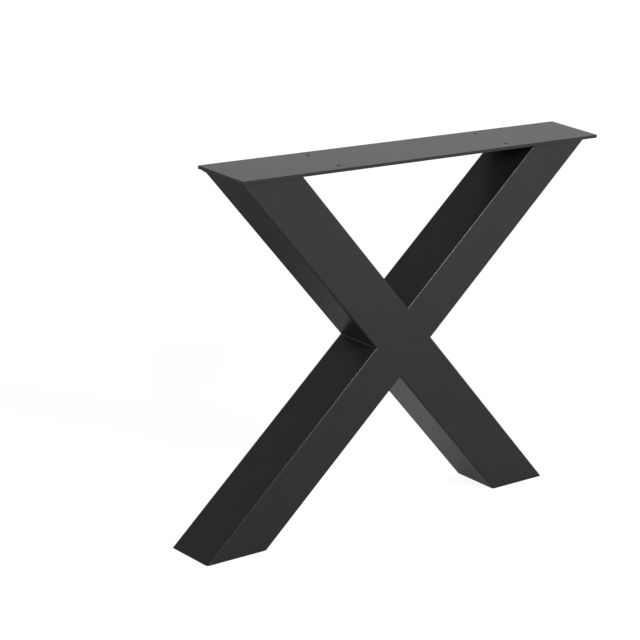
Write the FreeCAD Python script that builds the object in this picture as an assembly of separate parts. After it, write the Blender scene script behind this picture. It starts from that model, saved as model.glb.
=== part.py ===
import FreeCAD, Part
import math
import os

from FreeCAD import Vector

# X shaped table leg: two square steel tubes cross at half height under a flat mounting plate.
# Millimetres. X runs along the plate, Y from the front face to the back, Z up.
# The origin is on the floor, under the middle of the plate.

# Overall form
height = 720.0                  # floor to the top of the mounting plate
cross_width = 900.0             # outer width of the X, the same at the plate and at the feet

# Square tube
tube_size = 100.0               # outside, across the flats
tube_wall = 2.0
tube_inner_radius = 2.0

# Mounting plate
plate_thickness = 6.0
plate_left_overhang = 4.0       # past the left tube, just enough for its weld
plate_right_overhang = 24.0     # past the right tube
plate_side_overhang = 10.0      # past the tubes at the front and at the back
plate_corner_radius = 2.0
plate_edge_break = 0.5

# Screw holes in the plate, between the two tube mouths
screw_hole_diameter = 6.5
screw_spacing_x = 440.0
screw_edge_distance = 20.0      # hole to the front or the back edge of the plate

# Closed feet
foot_plate_thickness = 4.0
glide_height = 2.0              # floor to the tube mouth
glide_diameter = 28.0
glide_side_margin = 6.0         # glide's rim to the side of the tube
glide_rim_chamfer = 0.6
glide_stem_diameter = 8.0
glide_hole_clearance = 0.1      # all round the stem
glide_barb_grip = 0.4           # how far the barb stands out past the hole
glide_barb_height = 4.0
glide_tip_diameter = 6.0

# Weld beads
weld_leg = 2.5
weld_crown = 0.75               # how far a bead's face bulges past its chord
weld_toe = 0.3                  # thickness at which the bead round a tube mouth runs out

# Worked out from the sizes above
tube_outer_radius = tube_inner_radius + tube_wall
tube_flat = tube_size - 2 * tube_outer_radius
plate_length = cross_width + plate_left_overhang + plate_right_overhang
cross_x = (plate_left_overhang - plate_right_overhang) / 2      # the X stands left of the plate's middle
plate_depth = tube_size + 2 * plate_side_overhang
plate_underside = height - plate_thickness
screw_spacing_y = plate_depth - 2 * screw_edge_distance
glide_spacing = tube_size - 2 * glide_side_margin - glide_diameter
cross_height = plate_underside - glide_height
crossing_z = glide_height + cross_height / 2

# Angle of the tubes above the floor: the outer edges of a tube of this size then meet the cross width
corner_reach = math.hypot(cross_width / 2, cross_height / 2)
tube_angle = math.atan2(cross_height, cross_width) + math.asin(tube_size / 2 / corner_reach)
mouth_length = tube_size / math.sin(tube_angle)
blank_length = 2 * corner_reach + 2 * tube_size

FALLING = -1                    # from top left to bottom right
RISING = 1                      # from bottom left to top right


def rounded_outline(length, depth, radius, centre=Vector(0, 0, 0)):
    """Closed wire of a rectangle with round corners, flat in Z."""
    reach_x = length / 2 - radius
    reach_y = depth / 2 - radius
    edges = []
    previous = None
    first = None
    for sign_x, sign_y, start in ((1, 1, 0), (-1, 1, 90), (-1, -1, 180), (1, -1, 270)):
        middle = centre + Vector(sign_x * reach_x, sign_y * reach_y, 0)
        points = []
        for turn in (0, 45, 90):
            angle = math.radians(start + turn)
            points.append(middle + Vector(math.cos(angle), math.sin(angle), 0) * radius)
        if previous:
            edges.append(Part.LineSegment(previous, points[0]).toShape())
        edges.append(Part.Arc(*points).toShape())
        first = first or points[0]
        previous = points[2]
    edges.append(Part.LineSegment(previous, first).toShape())
    return Part.Wire(edges)


def lean(shape, direction):
    """Turn a shape that stands on its own axis into the line of a tube, centred on the crossing."""
    shape = shape.copy()
    shape.rotate(Vector(0, 0, 0), Vector(0, 1, 0), direction * (90 - math.degrees(tube_angle)))
    shape.translate(Vector(cross_x, 0, crossing_z))
    return shape


def prism(wire, direction):
    """Long leaning bar with the given outline as its section."""
    blank = Part.Face(wire).extrude(Vector(0, 0, blank_length))
    blank.translate(Vector(0, 0, -blank_length / 2))
    return lean(blank, direction)


def envelope(direction):
    """The space inside a tube's outer faces."""
    return prism(rounded_outline(tube_size, tube_size, tube_outer_radius), direction)


def cavity(direction):
    """The space inside a tube's inner faces."""
    bore = tube_size - 2 * tube_wall
    return prism(rounded_outline(bore, bore, tube_inner_radius), direction)


def level_slab(bottom, top):
    """All that lies between two heights, to mitre a leaning shape with."""
    reach = blank_length
    return Part.makeBox(2 * reach, 2 * reach, top - bottom, Vector(-reach, -reach, bottom))


def mitred_tube(direction):
    """Full length tube, cut level at the plate and at the foot."""
    tube = envelope(direction).cut(cavity(direction))
    return tube.common(level_slab(glide_height, plate_underside))


def half_tubes():
    """The rising arm in two lengths, coped to the sides and round edges of the through tube."""
    pieces = mitred_tube(RISING).cut(envelope(FALLING)).Solids
    lower, upper = sorted(pieces, key=lambda piece: piece.CenterOfMass.z)
    return upper, lower


def mounting_plate():
    plate = Part.makeBox(
        plate_length, plate_depth, plate_thickness,
        Vector(-plate_length / 2, -plate_depth / 2, plate_underside))
    upright = [edge for edge in plate.Edges if abs(edge.tangentAt(edge.FirstParameter).z) > 0.5]
    plate = plate.makeFillet(plate_corner_radius, upright)
    for sign_x in (-1, 1):
        for sign_y in (-1, 1):
            centre = Vector(sign_x * screw_spacing_x / 2, sign_y * screw_spacing_y / 2, plate_underside)
            plate = plate.cut(Part.makeCylinder(screw_hole_diameter / 2, plate_thickness, centre))
    rims = [edge for edge in plate.Edges if edge.BoundBox.ZLength < plate_edge_break]
    return plate.makeChamfer(plate_edge_break, rims)


def mouth_centre_x(side):
    """Middle of a tube mouth, the same at the plate and at the foot: -1 is the left one, 1 the right."""
    return cross_x + side * (cross_width - mouth_length) / 2


def glide_places(side):
    """Front and rear place of the two glides under one foot."""
    return [Vector(mouth_centre_x(side), sign_y * glide_spacing / 2, 0) for sign_y in (-1, 1)]


def foot_plate(side):
    """Sheet that fills a mitred mouth, flush with the end of the tube, with a hole for each glide."""
    top = glide_height + foot_plate_thickness
    plate = cavity(-side).common(level_slab(glide_height, top))
    hole_radius = glide_stem_diameter / 2 + glide_hole_clearance
    for place in glide_places(side):
        plate = plate.cut(Part.makeCylinder(hole_radius, top, place))
    return plate


def glide(place):
    """Turned plastic glide: a foot disc, a stem through the foot plate and a barb that snaps above it."""
    disc = glide_diameter / 2
    stem = glide_stem_diameter / 2
    barb = stem + glide_hole_clearance + glide_barb_grip
    barb_z = glide_height + foot_plate_thickness + glide_hole_clearance
    outline = [
        (0, 0),
        (disc - glide_rim_chamfer, 0),
        (disc, glide_rim_chamfer),
        (disc, glide_height),
        (stem, glide_height),
        (stem, barb_z),
        (barb, barb_z),
        (glide_tip_diameter / 2, barb_z + glide_barb_height),
        (0, barb_z + glide_barb_height),
        (0, 0),
    ]
    profile = Part.Face(Part.makePolygon([Vector(radius, 0, z) for radius, z in outline]))
    turned = profile.revolve(Vector(0, 0, 0), Vector(0, 0, 1), 360)
    turned.translate(place)
    return turned


def crossing_weld(through_side, half_side):
    """Fillet bead along Y in one inner corner of the crossing.

    through_side is 1 above the through tube and -1 below it, half_side the same for the half tubes.
    """
    sine, cosine = math.sin(tube_angle), math.cos(tube_angle)
    along_through = Vector(cosine, 0, -sine) * -half_side
    along_half = Vector(cosine, 0, sine) * through_side
    corner = Vector(
        cross_x + (through_side - half_side) * tube_size / (4 * sine),
        -tube_flat / 2,
        crossing_z + (through_side + half_side) * tube_size / (4 * cosine))
    first = corner + along_through * weld_leg
    last = corner + along_half * weld_leg
    outwards = (along_through + along_half).normalize()
    crown = (first + last) * 0.5 + outwards * weld_crown
    section = Part.Wire([
        Part.LineSegment(corner, first).toShape(),
        Part.Arc(first, crown, last).toShape(),
        Part.LineSegment(last, corner).toShape(),
    ])
    return Part.Face(section).extrude(Vector(0, tube_flat, 0))


def plate_weld(side):
    """Bead all round the top mouth of a tube, against the underside of the plate."""
    toe_drop = Vector(-side * weld_leg / math.tan(tube_angle), 0, -weld_leg)
    mouth = Vector(mouth_centre_x(side), 0, plate_underside)
    loops = []
    for grow, centre in ((weld_leg, mouth), (weld_toe, mouth + toe_drop)):
        loops.append(rounded_outline(
            mouth_length + 2 * grow, tube_size + 2 * grow, tube_outer_radius + grow, centre))
    return Part.makeLoft(loops, True, True).cut(envelope(side))


def build():
    upper_half, lower_half = half_tubes()
    nodes = {
        "mounting_plate": mounting_plate(),
        "through_tube": mitred_tube(FALLING),
        "upper_half_tube": upper_half,
        "lower_half_tube": lower_half,
        "crossing_weld_top": crossing_weld(1, 1),
        "crossing_weld_right": crossing_weld(1, -1),
        "crossing_weld_left": crossing_weld(-1, 1),
        "crossing_weld_bottom": crossing_weld(-1, -1),
    }
    for side, side_name in ((-1, "left"), (1, "right")):
        nodes["plate_weld_" + side_name] = plate_weld(side)
        nodes[side_name + "_foot_plate"] = foot_plate(side)
        for place, end_name in zip(glide_places(side), ("front", "rear")):
            nodes[side_name + "_" + end_name + "_glide"] = glide(place)
    return nodes


os.makedirs("parts", exist_ok=True)
for name, shape in build().items():
    shape.exportStep("parts/" + name + ".step")
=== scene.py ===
import math

import bpy
from mathutils import Euler, Matrix, Vector


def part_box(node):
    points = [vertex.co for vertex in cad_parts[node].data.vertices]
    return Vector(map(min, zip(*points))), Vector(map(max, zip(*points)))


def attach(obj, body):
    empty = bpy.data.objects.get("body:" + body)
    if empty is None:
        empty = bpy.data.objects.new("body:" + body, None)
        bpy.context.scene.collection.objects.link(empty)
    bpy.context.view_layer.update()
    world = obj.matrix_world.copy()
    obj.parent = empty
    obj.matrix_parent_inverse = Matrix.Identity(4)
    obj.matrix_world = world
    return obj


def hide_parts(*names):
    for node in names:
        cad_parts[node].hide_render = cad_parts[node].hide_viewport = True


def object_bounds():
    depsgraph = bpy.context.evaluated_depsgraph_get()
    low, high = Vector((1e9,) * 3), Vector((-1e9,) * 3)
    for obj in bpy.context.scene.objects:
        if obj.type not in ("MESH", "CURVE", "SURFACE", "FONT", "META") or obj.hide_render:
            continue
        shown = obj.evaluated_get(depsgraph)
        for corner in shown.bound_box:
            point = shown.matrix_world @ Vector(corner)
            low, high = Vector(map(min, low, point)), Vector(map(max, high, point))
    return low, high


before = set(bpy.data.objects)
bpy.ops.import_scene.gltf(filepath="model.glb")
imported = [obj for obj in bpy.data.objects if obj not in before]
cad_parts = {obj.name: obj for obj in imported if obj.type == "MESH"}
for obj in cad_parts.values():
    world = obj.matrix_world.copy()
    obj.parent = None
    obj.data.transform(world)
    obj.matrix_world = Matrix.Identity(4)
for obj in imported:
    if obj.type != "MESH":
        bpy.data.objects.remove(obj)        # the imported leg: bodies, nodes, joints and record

# Sizes that everything else is placed from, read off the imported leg, in metres
cadLow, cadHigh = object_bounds()
legMiddle = (cadLow + cadHigh) / 2
throughLow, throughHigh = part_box("through_tube")
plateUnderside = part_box("mounting_plate")[0].z
tubeSize = throughHigh.y - throughLow.y
crossWidth = throughHigh.x - throughLow.x
crossMiddle = (throughLow.x + throughHigh.x) / 2    # the X stands left of the plate's middle
crossHeight = throughHigh.z - throughLow.z
crossReach = math.hypot(crossWidth, crossHeight)
tubeAngle = math.atan2(crossHeight, crossWidth) + math.asin(tubeSize / crossReach)
mouthLength = tubeSize / math.sin(tubeAngle)        # a mitred tube end, measured along X
beadLow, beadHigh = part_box("plate_weld_left")
beadRadius = beadHigh.z - beadLow.z
beadLow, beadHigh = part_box("crossing_weld_top")
tubeFlat = beadHigh.y - beadLow.y       # the flat of a tube's side, between its round edges
tubeRadius = (tubeSize - tubeFlat) / 2
print("Frame loaded: leg", [round(side, 3) for side in cadHigh - cadLow])


# Small helpers

def clearSelection():
    if bpy.context.mode != "OBJECT":
        bpy.ops.object.mode_set(mode="OBJECT")
    bpy.ops.object.select_all(action="DESELECT")


def selectOnly(piece):
    clearSelection()
    piece.select_set(True)
    bpy.context.view_layer.objects.active = piece


def startEditing(piece):
    selectOnly(piece)
    bpy.ops.object.mode_set(mode="EDIT")


def stopEditing():
    bpy.ops.object.mode_set(mode="OBJECT")


def applyPlace(piece):
    selectOnly(piece)
    bpy.ops.object.transform_apply(location=True, rotation=True, scale=True)


def applyModifiers(piece):
    selectOnly(piece)
    for name in [modifier.name for modifier in piece.modifiers]:
        bpy.ops.object.modifier_apply(modifier=name)


def selectVertices(piece, test):
    # edit mode keeps its own copy of the selection, so it is set from outside
    stopEditing()
    for polygon in piece.data.polygons:
        polygon.select = False
    for edge in piece.data.edges:
        edge.select = False
    for vertex in piece.data.vertices:
        vertex.select = test(vertex.co)
    bpy.ops.object.mode_set(mode="EDIT")


# Camera, at the viewing angle of the photograph

cameraSettings = {
    "azimuth": -44.61,          # degrees round from the front, to the left
    "elevation": 17.33,
    "roll": 5.64,
    "distance": 4.559,          # metres from the middle of the leg
    "slideRight": -0.1322,      # the leg stands right of the picture's middle
    "slideUp": 0.0256,
    "lens": 135.24,             # millimetres on a 36 mm sensor
}


def addCamera(settings):
    bpy.ops.object.camera_add()
    camera = bpy.context.object
    camera.name = "camera"
    tilt = math.radians(90 - settings["elevation"])
    orbit = Euler((tilt, 0, math.radians(settings["azimuth"])), "XYZ").to_matrix()
    roll = Euler((0, 0, math.radians(settings["roll"])), "XYZ").to_matrix()
    turn = orbit @ roll
    camera.rotation_euler = turn.to_euler("XYZ")
    camera.location = legMiddle + turn @ Vector(
        (settings["slideRight"], settings["slideUp"], settings["distance"]))
    camera.data.lens = settings["lens"]
    camera.data.clip_end = 100
    bpy.context.scene.camera = camera


# Studio: a floor that is white to the camera, with painted reflection and painted shade in what the leg
# reflects, a low wall of light in front, a taller one behind and two soft lamps. Its strengths are fitted
# to the tones of the leg in the photograph

floorSettings = {
    "size": 60.0,
    "roughness": 0.9,
    "specular": 0.1,
    "seenLift": 0.90,           # white added where the camera sees the floor, or looks through something
    # along Y: place, the lift that reflections see instead, and the floor's own grey. The lift is a
    # painted reflection, brighter in front and weak in a strip behind the leg; the grey is painted shade,
    # darker in that strip, for the dark undersides of the tubes
    "paintedLightStops": (
        (-1.6, 0.62, 0.38), (-1.2, 0.50, 0.38), (-0.8, 0.27, 0.38), (-0.5, 0.22, 0.38),
        (-0.15, 0.24, 0.38), (0.03, 0.18, 0.38), (0.15, 0.31, 0.38), (0.29, 0.31, 0.35),
        (0.42, 0.09, 0.22), (0.57, 0.06, 0.22), (0.62, 0.0, 0.22), (0.66, 0.0, 0.22),
        (0.72, 0.03, 0.22), (0.95, 0.03, 0.22), (1.4, 0.60, 0.38)),
}

skySettings = {                 # a height is the sine of the angle above the horizon
    "front": 1.1,
    "frontHeight": (0.24, 0.36),        # where the fade to the overhead light starts and ends
    "back": 0.71,
    "backHeight": (0.36, 0.70),
    "overhead": 0.25,
    "turn": 0.12,               # half the width of the change from front to back
}

lampSettings = {
    "frontLamp": {"azimuth": 0, "elevation": 35, "distance": 3.2, "size": 0.5, "power": 35},
    "leftLamp": {"azimuth": -21, "elevation": 43, "distance": 3.2, "size": 0.5, "power": 18},
}


def addFloor(settings):
    bpy.ops.mesh.primitive_plane_add(size=settings["size"], location=(0, 0, cadLow.z))
    floor = bpy.context.object
    floor.name = "floor"
    applyPlace(floor)
    paint = bpy.data.materials.new("floorPaint")
    paint.use_nodes = True
    nodes, links = paint.node_tree.nodes, paint.node_tree.links
    shader = nodes["Principled BSDF"]
    shader.inputs["Roughness"].default_value = settings["roughness"]
    shader.inputs["Specular IOR Level"].default_value = settings["specular"]
    shader.inputs["Emission Color"].default_value = (1, 1, 1, 1)
    rays = nodes.new("ShaderNodeLightPath")
    place = nodes.new("ShaderNodeTexCoord")
    split = nodes.new("ShaderNodeSeparateXYZ")
    paintedLightStops = settings["paintedLightStops"]
    start, end = paintedLightStops[0][0], paintedLightStops[-1][0]
    along = nodes.new("ShaderNodeMapRange")
    along.inputs["From Min"].default_value = start
    along.inputs["From Max"].default_value = end
    paintedLightRamp = nodes.new("ShaderNodeValToRGB")         # its colour is the painted reflection lift, its alpha the grey with its painted shade strip
    ramp = paintedLightRamp.color_ramp
    for stop in paintedLightStops[1:-1]:
        ramp.elements.new((stop[0] - start) / (end - start))
    for element, (where, strength, grey) in zip(ramp.elements, paintedLightStops):
        element.color = (strength, strength, strength, grey)
    # painted reflection: the floor glows for glossy rays only, by its place along Y
    paintedReflection = nodes.new("ShaderNodeMath")
    paintedReflection.operation = "MULTIPLY"
    links.new(place.outputs["Object"], split.inputs[0])
    links.new(split.outputs["Y"], along.inputs["Value"])
    links.new(along.outputs["Result"], paintedLightRamp.inputs["Fac"])
    # painted shade: the floor's own grey is darker in the strip behind the leg
    links.new(paintedLightRamp.outputs["Alpha"], shader.inputs["Base Color"])
    links.new(rays.outputs["Is Glossy Ray"], paintedReflection.inputs[0])
    links.new(paintedLightRamp.outputs["Color"], paintedReflection.inputs[1])
    lift = paintedReflection.outputs[0]
    for kind in ("Is Camera Ray", "Is Transmission Ray"):
        step = nodes.new("ShaderNodeMath")
        step.operation = "MULTIPLY_ADD"
        step.inputs[1].default_value = settings["seenLift"]
        links.new(rays.outputs[kind], step.inputs[0])
        links.new(lift, step.inputs[2])
        lift = step.outputs[0]
    links.new(lift, shader.inputs["Emission Strength"])
    floor.data.materials.append(paint)


def paintSky(settings):
    world = bpy.data.worlds.new("sky")
    world.use_nodes = True
    bpy.context.scene.world = world
    nodes, links = world.node_tree.nodes, world.node_tree.links
    place = nodes.new("ShaderNodeTexCoord")
    split = nodes.new("ShaderNodeSeparateXYZ")
    links.new(place.outputs["Generated"], split.inputs[0])

    def fade(axis, span, first, last):
        step = nodes.new("ShaderNodeMapRange")
        step.interpolation_type = "SMOOTHSTEP"
        step.inputs["From Min"].default_value, step.inputs["From Max"].default_value = span
        step.inputs["To Min"].default_value = first
        step.inputs["To Max"].default_value = last
        links.new(split.outputs[axis], step.inputs["Value"])
        return step.outputs["Result"]

    def blend(share, first, second):
        # second is a socket or a plain number
        mixed = nodes.new("ShaderNodeMix")
        mixed.data_type = "FLOAT"
        links.new(share, mixed.inputs[0])
        links.new(first, mixed.inputs[2])
        if isinstance(second, float):
            mixed.inputs[3].default_value = second
        else:
            links.new(second, mixed.inputs[3])
        return mixed.outputs[0]

    front = fade("Z", settings["frontHeight"], settings["front"], settings["overhead"])
    back = fade("Z", settings["backHeight"], settings["back"], settings["overhead"])
    behind = fade("Y", (-settings["turn"], settings["turn"]), 0, 1)
    rays = nodes.new("ShaderNodeLightPath")
    walls = blend(behind, front, back)
    seen = blend(rays.outputs["Is Camera Ray"], walls, 1.0)      # the camera sees plain white
    links.new(seen, nodes["Background"].inputs["Strength"])
    nodes["Background"].inputs["Color"].default_value = (1, 1, 1, 1)


def addLamp(name, settings):
    azimuth, elevation = math.radians(settings["azimuth"]), math.radians(settings["elevation"])
    towards = Vector((
        math.sin(azimuth) * math.cos(elevation),
        -math.cos(azimuth) * math.cos(elevation),
        math.sin(elevation)))
    bpy.ops.object.light_add(type="AREA", location=legMiddle + towards * settings["distance"])
    lamp = bpy.context.object
    lamp.name = name
    lamp.rotation_euler = towards.to_track_quat("Z", "Y").to_euler()
    lamp.data.shape = "DISK"
    lamp.data.size = settings["size"]
    lamp.data.energy = settings["power"]


# Finishes

grainDepth = 0.3                # share of a grain's size
maskRange = (0.3, 0.7)          # between these values lies nearly all of a noise


def buildGrainGroup():
    # fine pebbled skin with a faint broad mottle: used by the powder coat and the moulded plastic
    group = bpy.data.node_groups.new("fineGrain", "ShaderNodeTree")
    socket = group.interface.new_socket
    socket(name="Place", in_out="INPUT", socket_type="NodeSocketVector")
    socket(name="Grain Scale", in_out="INPUT", socket_type="NodeSocketFloat")
    socket(name="Mottle Scale", in_out="INPUT", socket_type="NodeSocketFloat")
    socket(name="Height", in_out="OUTPUT", socket_type="NodeSocketFloat")
    socket(name="Speck", in_out="OUTPUT", socket_type="NodeSocketFloat")
    socket(name="Mottle", in_out="OUTPUT", socket_type="NodeSocketFloat")
    nodes, links = group.nodes, group.links
    given = nodes.new("NodeGroupInput")
    result = nodes.new("NodeGroupOutput")

    pebbles = nodes.new("ShaderNodeTexVoronoi")
    pebbles.feature = "SMOOTH_F1"
    pebbles.inputs["Smoothness"].default_value = 0.6
    dust = nodes.new("ShaderNodeTexNoise")
    dust.inputs["Detail"].default_value = 2
    mottle = nodes.new("ShaderNodeTexNoise")
    mottle.inputs["Detail"].default_value = 3
    mottle.inputs["Roughness"].default_value = 0.6
    for texture, scale in ((pebbles, "Grain Scale"), (dust, "Grain Scale"), (mottle, "Mottle Scale")):
        links.new(given.outputs["Place"], texture.inputs["Vector"])
        links.new(given.outputs[scale], texture.inputs["Scale"])

    height = nodes.new("ShaderNodeMath")
    height.operation = "SUBTRACT"
    links.new(dust.outputs["Fac"], height.inputs[0])
    links.new(pebbles.outputs["Distance"], height.inputs[1])
    links.new(height.outputs[0], result.inputs["Height"])
    links.new(dust.outputs["Fac"], result.inputs["Speck"])
    links.new(mottle.outputs["Fac"], result.inputs["Mottle"])
    return group


def addGrain(material, group, grainSize, mottleSize):
    nodes, links = material.node_tree.nodes, material.node_tree.links
    place = nodes.new("ShaderNodeTexCoord")
    grain = nodes.new("ShaderNodeGroup")
    grain.node_tree = group
    grain.inputs["Grain Scale"].default_value = 1 / grainSize
    grain.inputs["Mottle Scale"].default_value = 1 / mottleSize
    links.new(place.outputs["Object"], grain.inputs["Place"])
    return grain


def spread(material, source, low, high):
    # a mask from 0 to 1 turned into a narrow range of values
    nodes, links = material.node_tree.nodes, material.node_tree.links
    span = nodes.new("ShaderNodeMapRange")
    span.inputs["From Min"].default_value, span.inputs["From Max"].default_value = maskRange
    span.inputs["To Min"].default_value = low
    span.inputs["To Max"].default_value = high
    links.new(source, span.inputs["Value"])
    return span.outputs["Result"]


def buildCoat(name, group, look):
    material = bpy.data.materials.new(name)
    material.use_nodes = True
    nodes, links = material.node_tree.nodes, material.node_tree.links
    shader = nodes["Principled BSDF"]
    shader.inputs["Specular IOR Level"].default_value = look["specular"]
    grain = addGrain(material, group, look["grain"], look["mottle"])

    tint = nodes.new("ShaderNodeMix")       # 6 and 7 are its colour sockets, 2 its colour result
    tint.data_type = "RGBA"
    tint.inputs[6].default_value = (*look["dark"], 1)
    tint.inputs[7].default_value = (*look["light"], 1)
    links.new(spread(material, grain.outputs["Mottle"], 0, 1), tint.inputs[0])
    links.new(tint.outputs[2], shader.inputs["Base Color"])

    links.new(spread(material, grain.outputs["Speck"], *look["roughness"]), shader.inputs["Roughness"])

    bump = nodes.new("ShaderNodeBump")
    bump.inputs["Strength"].default_value = look["bump"]
    bump.inputs["Distance"].default_value = look["grain"] * grainDepth
    links.new(grain.outputs["Height"], bump.inputs["Height"])
    links.new(bump.outputs["Normal"], shader.inputs["Normal"])
    return material


finishes = {
    "powderCoat": {
        "dark": (0.0105, 0.0105, 0.0108),
        "light": (0.0135, 0.0135, 0.0138),
        "roughness": (0.26, 0.34),
        "specular": 0.42,
        "grain": 0.0006,
        "mottle": 0.045,
        "bump": 0.22,
    },
    "mouldedPlastic": {
        "dark": (0.014, 0.014, 0.0145),
        "light": (0.018, 0.018, 0.0185),
        "roughness": (0.50, 0.60),
        "specular": 0.4,
        "grain": 0.0004,
        "mottle": 0.02,
        "bump": 0.15,
    },
}


def dress(piece, material):
    piece.data.materials.clear()
    piece.data.materials.append(material)


# Weld beads

beadSettings = {
    "corners": 24,              # round the full circle that the face of a bead is part of
    "pitch": 0.0026,            # one ripple to the next
    "ripple": (0.91, 0.985, 1.02, 0.995),       # size of the bead at each step of one ripple
    "lag": 0.0011,              # how far the middle of a ripple stays behind its toes
    "tips": ((0.0009, 0.74), (0.0005, 0.55)),       # length and size of each step that closes an end
    "sharpAngle": 50,
}

crossingBeads = {               # which way the face of each bead looks
    "crossing_weld_top": (0, 0, 1),
    "crossing_weld_right": (1, 0, 0),
    "crossing_weld_bottom": (0, 0, -1),
    "crossing_weld_left": (-1, 0, 0),
}

plateBeads = {"plate_weld_left": -1, "plate_weld_right": 1}


def addBeadSection(settings, sector):
    # a bead cut across: its centre on the X axis and, below it, an arc to the given half angle
    bpy.ops.mesh.primitive_circle_add(
        vertices=settings["corners"], radius=beadRadius, fill_type="NOTHING",
        rotation=(0, math.radians(90), 0))
    bead = bpy.context.object
    applyPlace(bead)

    def drop(angle):
        return math.cos(math.radians(angle)) * beadRadius

    selectVertices(bead, lambda place: -place.z < drop(sector + 1))
    bpy.ops.mesh.merge(type="CURSOR")
    steps = settings["corners"] * sector // 360
    for step in range(steps):
        selectVertices(bead, lambda place: -place.z > drop(sector * (step + 0.5) / steps))
        bpy.ops.transform.translate(value=(-settings["lag"] * (2 * step + 1) / steps ** 2, 0, 0))
    stopEditing()
    return bead


def addRipples(bead, settings, length):
    # one ripple drawn out along X, then repeated
    count = round(length / settings["pitch"])
    pitch = length / count
    startEditing(bead)
    bpy.ops.mesh.select_all(action="SELECT")
    size = 1
    for step, following in enumerate(settings["ripple"] + settings["ripple"][:1]):
        if step:
            bpy.ops.mesh.extrude_region_move(
                TRANSFORM_OT_translate={"value": (pitch / len(settings["ripple"]), 0, 0)})
        growth = following / size
        bpy.ops.transform.resize(value=(1, growth, growth), center_override=(0, 0, 0))
        size = following
    stopEditing()
    row = bead.modifiers.new("row", "ARRAY")
    row.use_relative_offset = False
    row.use_constant_offset = True
    row.constant_offset_displace = (pitch, 0, 0)
    row.count = count
    row.use_merge_vertices = True
    row.merge_threshold = pitch / 50


def closeTips(bead, settings, length):
    startEditing(bead)
    bpy.ops.mesh.select_mode(type="EDGE")
    bpy.ops.mesh.select_non_manifold(extend=False)
    for step, size in settings["tips"]:
        bpy.ops.mesh.extrude_region_move()
        stretch = 1 + 2 * step / length
        bpy.ops.transform.resize(value=(stretch, size, size), center_override=(length / 2, 0, 0))
    bpy.ops.mesh.select_mode(type="VERT")
    bpy.ops.mesh.select_all(action="SELECT")
    bpy.ops.mesh.fill_holes(sides=0)
    stopEditing()


def finishBead(bead, node, settings, material):
    startEditing(bead)
    bpy.ops.mesh.select_all(action="SELECT")
    bpy.ops.mesh.remove_doubles(threshold=settings["pitch"] / 50)
    bpy.ops.mesh.normals_make_consistent(inside=False)
    stopEditing()
    selectOnly(bead)
    bpy.ops.object.shade_smooth_by_angle(angle=math.radians(settings["sharpAngle"]))
    bead.name = "rippled_" + node
    dress(bead, material)
    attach(bead, "root")
    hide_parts(node)


def addCrossingBead(node, facing, settings, material):
    sector = 45
    low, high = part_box(node)
    outwards = Vector(facing)
    opening = tubeAngle if outwards.x else math.pi / 2 - tubeAngle      # half the angle of the corner
    bead = addBeadSection(settings, sector)
    startEditing(bead)
    bpy.ops.mesh.select_all(action="SELECT")
    sideways = math.sin(opening) / math.sin(math.radians(sector))
    deep = math.cos(opening) / math.cos(math.radians(sector))
    bpy.ops.transform.resize(value=(1, sideways, deep), center_override=(0, 0, 0))
    length = tubeFlat - 2 * sum(step for step, size in settings["tips"])
    addRipples(bead, settings, length)
    applyModifiers(bead)
    closeTips(bead, settings, length)

    along = Vector((0, 1, 0))
    bead.rotation_euler = Matrix((along, -outwards.cross(along), -outwards)).transposed().to_euler()
    corner = Vector(((high - low)[axis] * outwards[axis] for axis in range(3))) / -2 + (low + high) / 2
    bead.location = corner - along * length / 2
    applyPlace(bead)
    finishBead(bead, node, settings, material)


def addMouthPath():
    bpy.ops.mesh.primitive_plane_add(size=1)
    path = bpy.context.object
    path.scale = (mouthLength, tubeSize, 1)
    applyPlace(path)
    startEditing(path)
    bpy.ops.mesh.select_all(action="SELECT")
    bpy.ops.mesh.bevel(offset=tubeRadius, segments=6, affect="VERTICES")
    bpy.ops.mesh.select_all(action="SELECT")
    bpy.ops.mesh.delete(type="ONLY_FACE")
    stopEditing()
    selectOnly(path)
    bpy.ops.object.convert(target="CURVE")
    path.data.dimensions = "2D"
    return path


def addPlateBead(node, side, settings, material):
    # half a round cord that follows the mouth's outline, so its inner half lies hidden in the tube's wall
    path = addMouthPath()
    bead = addBeadSection(settings, 90)
    addRipples(bead, settings, path.data.splines[0].calc_length())
    bend = bead.modifiers.new("bend", "CURVE")
    bend.object = path
    applyModifiers(bead)
    selectOnly(path)
    bpy.ops.object.delete()
    bead.location = (crossMiddle + side * (crossWidth - mouthLength) / 2, 0, plateUnderside)
    applyPlace(bead)
    finishBead(bead, node, settings, material)


print("Helpers ready")
addCamera(cameraSettings)
addFloor(floorSettings)
paintSky(skySettings)
for lampName, lampValues in lampSettings.items():
    addLamp(lampName, lampValues)
print("Camera and studio ready")

grainGroup = buildGrainGroup()
powderCoat = buildCoat("powderCoat", grainGroup, finishes["powderCoat"])
mouldedPlastic = buildCoat("mouldedPlastic", grainGroup, finishes["mouldedPlastic"])
for nodeName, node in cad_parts.items():
    dress(node, mouldedPlastic if "glide" in nodeName else powderCoat)
print("Finishes ready")

for nodeName, facing in crossingBeads.items():
    addCrossingBead(nodeName, facing, beadSettings, powderCoat)
for nodeName, side in plateBeads.items():
    addPlateBead(nodeName, side, beadSettings, powderCoat)
print("Weld beads ready")

bpy.context.scene.view_settings.view_transform = "Standard"
